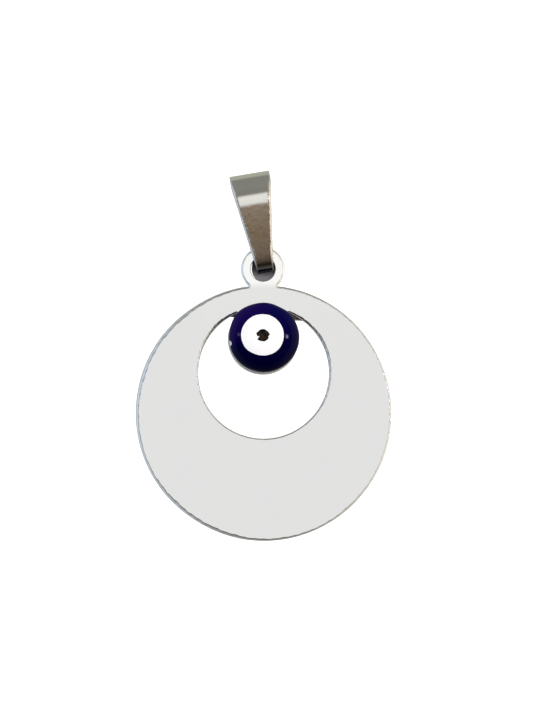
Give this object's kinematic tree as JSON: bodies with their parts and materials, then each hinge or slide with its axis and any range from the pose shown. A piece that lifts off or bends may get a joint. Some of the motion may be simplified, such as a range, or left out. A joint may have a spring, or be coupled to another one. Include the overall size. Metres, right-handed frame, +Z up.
{
  "type": "evil eye ornament",
  "caption": "Flat round hanging ornament with an off-centre round window, a domed blue and white eye bead fixed at its top, and a folded tapered bail that takes a chain.",
  "frame": {"origin": "middle of the bail's round loop, on the axis of the chain that passes through it", "axes": "+X to the right, +Y from the front to the back through the disc's thickness, +Z up; the disc hangs straight down and the bail leans 9.5 degrees to the left"},
  "size_m": [0.025, 0.0058, 0.0362],
  "materials": {
    "plate_steel": "polished stainless steel sheet with fine wiping scratches and rounded, slightly uneven edges",
    "bail_steel": "polished stainless steel strip, a little darker and warmer than the disc, with bevelled long edges",
    "navy_glass": "glossy opaque navy blue glass with faint violet depth",
    "white_glass": "glossy opaque white glass",
    "black_glass": "glossy black glass dot with an uneven outline",
    "clear_epoxy": "clear cured epoxy film"
  },
  "bodies": {
    "bail": {"bail": "bail_steel"},
    "disc": {"plate": "plate_steel", "eye_bead": "navy_glass", "eye_white": "white_glass", "eye_pupil": "black_glass", "glue_film": "clear_epoxy"}
  },
  "joints": [
    {"name": "ear_swing", "type": "hinge", "parent": "bail", "child": "disc", "pos_m": [0.00097, 0, -0.00671], "axis": [0, 1, 0], "range_deg": [-112, 93]}
  ]
}
